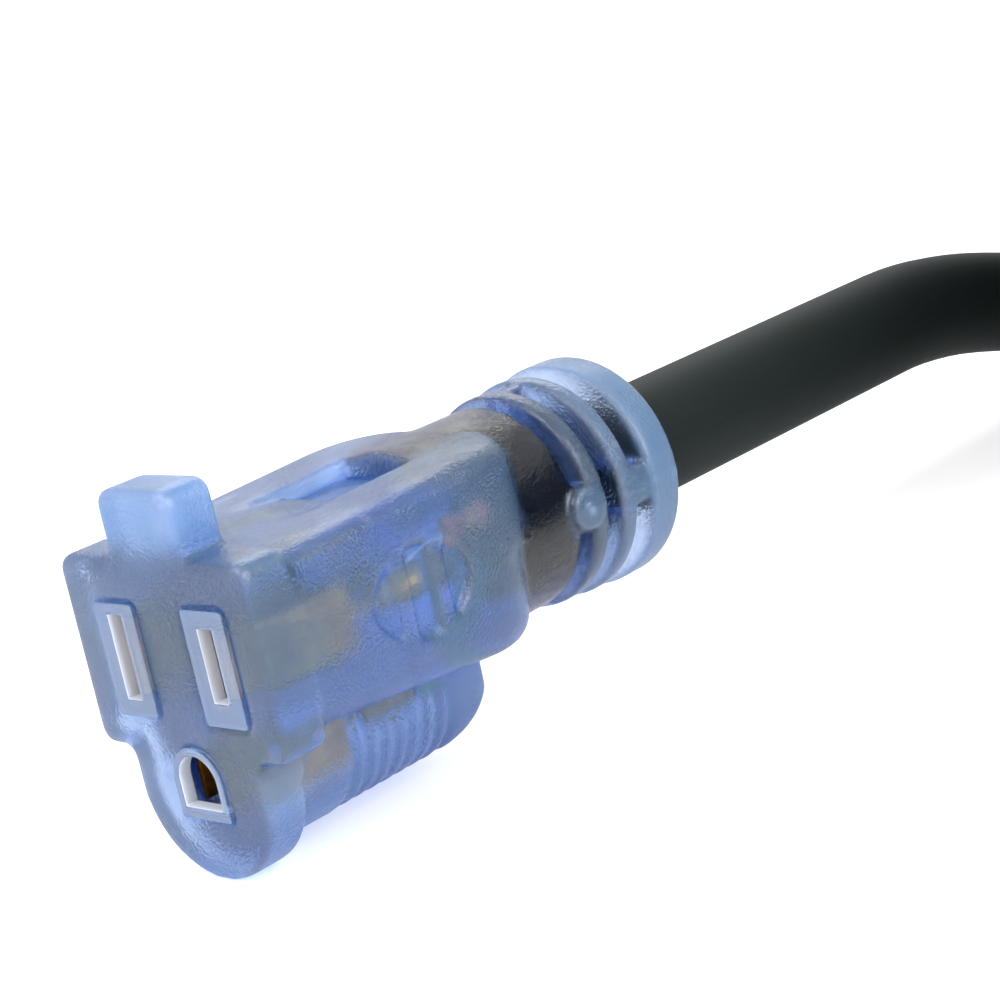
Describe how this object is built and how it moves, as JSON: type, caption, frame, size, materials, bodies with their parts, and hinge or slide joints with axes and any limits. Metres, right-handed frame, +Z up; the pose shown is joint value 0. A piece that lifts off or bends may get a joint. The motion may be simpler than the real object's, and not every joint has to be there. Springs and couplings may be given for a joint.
{
  "type": "shore power cord",
  "caption": "Moulded shore power cord: clear blue lighted-end socket connector with relief rings, black round cord in a strapped coil, and a matching plug with two blades and a ground pin.",
  "frame": {"origin": "bottom centre of the connector's bounding box, cord and plug left out; the connector stands on its ground lobe", "axes": "-Y out of the socket face, +Y along the cord as it leaves the strain relief, +X to the right when facing the socket face (the hot slot's side), +Z up from the ground lobe towards the finger tab"},
  "size_m": [0.2069, 0.2924, 0.1009],
  "materials": {
    "clear_blue_vinyl": "see-through pale blue soft vinyl, lightly grained on the body and smooth on the face and rings",
    "clear_insert": "clear grey-beige rigid sleeves set flush in the face",
    "contact_brass": "plain stamped brass, dull where it is crimped",
    "blade_brass": "drawn and polished brass blades and pin",
    "white_insulation": "white core insulation",
    "black_insulation": "black core insulation",
    "green_insulation": "green core insulation",
    "copper_strand": "bare stranded copper in the crimps",
    "lamp_glass": "small neon indicator bulb, orange-pink",
    "resistor_lacquer": "lacquered carbon resistor, reddish tan",
    "tinned_wire": "tinned lead wire",
    "cord_jacket": "black thermoplastic rubber jacket with a soft sheen",
    "strap_web": "dark woven hook-and-loop strap",
    "bridge_resin": "dark moulded resin"
  },
  "bodies": {
    "root": {"connector_shell": "clear_blue_vinyl", "inner_mould": "clear_blue_vinyl", "neutral_sleeve": "clear_insert", "hot_sleeve": "clear_insert", "ground_sleeve": "clear_insert", "neutral_contact": "contact_brass", "hot_contact": "contact_brass", "ground_contact": "contact_brass", "neutral_wire": "white_insulation", "hot_wire": "black_insulation", "ground_wire": "green_insulation", "conductor_ends": "copper_strand", "pilot_lamp": "lamp_glass", "lamp_resistor": "resistor_lacquer", "lamp_leads": "tinned_wire", "cord_end": "cord_jacket", "cord_lead": "cord_jacket", "cord_coil": "cord_jacket", "cord_tail": "cord_jacket", "coil_straps": "strap_web", "plug_shell": "clear_blue_vinyl", "plug_bridge": "bridge_resin", "neutral_blade": "blade_brass", "hot_blade": "blade_brass", "ground_pin": "blade_brass", "plug_neutral_wire": "white_insulation", "plug_hot_wire": "black_insulation", "plug_ground_wire": "green_insulation", "plug_cord_end": "cord_jacket"}
  },
  "joints": []
}
